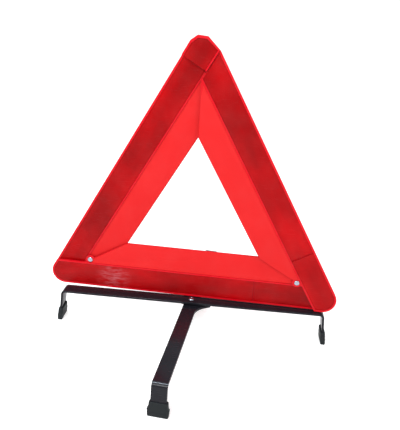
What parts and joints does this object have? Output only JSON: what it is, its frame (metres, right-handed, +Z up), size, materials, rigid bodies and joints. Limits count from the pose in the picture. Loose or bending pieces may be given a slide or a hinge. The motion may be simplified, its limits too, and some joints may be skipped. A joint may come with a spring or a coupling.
{
  "type": "warning triangle",
  "caption": "Folding red roadside warning triangle with reflector strips and bright panels, on two crossed bent steel legs with moulded feet.",
  "frame": {"origin": "on the floor under the upright rivet that joins the two legs", "axes": "+Z up, +X to the viewer's right along the bottom arm, +Y from the reflecting front to the back"},
  "size_m": [0.4408, 0.4038, 0.4375],
  "materials": {
    "arm_plastic": "moulded bright red plastic",
    "reflector": "clear red prismatic reflector",
    "bright_panel": "fluorescent red sheet",
    "foot_plastic": "dark moulded plastic",
    "leg_enamel": "glossy black enamel",
    "spacer_plastic": "natural moulded plastic",
    "rivet_steel": "bright zinc plate"
  },
  "bodies": {
    "base": {"bottom_arm_body": "arm_plastic", "bottom_arm_reflector_long": "reflector", "bottom_arm_reflector_short": "reflector", "bottom_arm_panel": "bright_panel", "left_pivot_rivet": "rivet_steel", "left_pivot_spacer": "spacer_plastic", "right_pivot_rivet": "rivet_steel", "right_pivot_spacer": "spacer_plastic", "leg_bracket": "leg_enamel", "bracket_drive_pins": "rivet_steel", "leg_rivet": "rivet_steel", "leg_washer": "rivet_steel", "leg_side_to_side": "leg_enamel", "foot_left": "foot_plastic", "foot_right": "foot_plastic"},
    "left_arm": {"left_arm_body": "arm_plastic", "left_arm_reflector": "reflector", "left_arm_panel": "bright_panel"},
    "right_arm": {"right_arm_body": "arm_plastic", "right_arm_reflector_long": "reflector", "right_arm_reflector_short": "reflector", "right_arm_panel": "bright_panel", "top_cap": "arm_plastic", "top_cap_reflector": "reflector"},
    "cross_leg": {"leg_front_to_back": "leg_enamel", "foot_front": "foot_plastic", "foot_rear": "foot_plastic"}
  },
  "joints": [
    {"name": "left_arm_fold", "type": "hinge", "parent": "base", "child": "left_arm", "pos_m": [-0.15914, 0.016, 0.0962], "axis": [0, 1, 0.0075], "range_deg": [0, 60]},
    {"name": "right_arm_fold", "type": "hinge", "parent": "base", "child": "right_arm", "pos_m": [0.15914, 0.006, 0.0962], "axis": [0, -1, 0.0075], "range_deg": [0, 60]},
    {"name": "cross_leg_swivel", "type": "hinge", "parent": "base", "child": "cross_leg", "pos_m": [0.0032, 0, 0.0453], "axis": [0, 0, 1], "range_deg": [0, 95.5]}
  ]
}
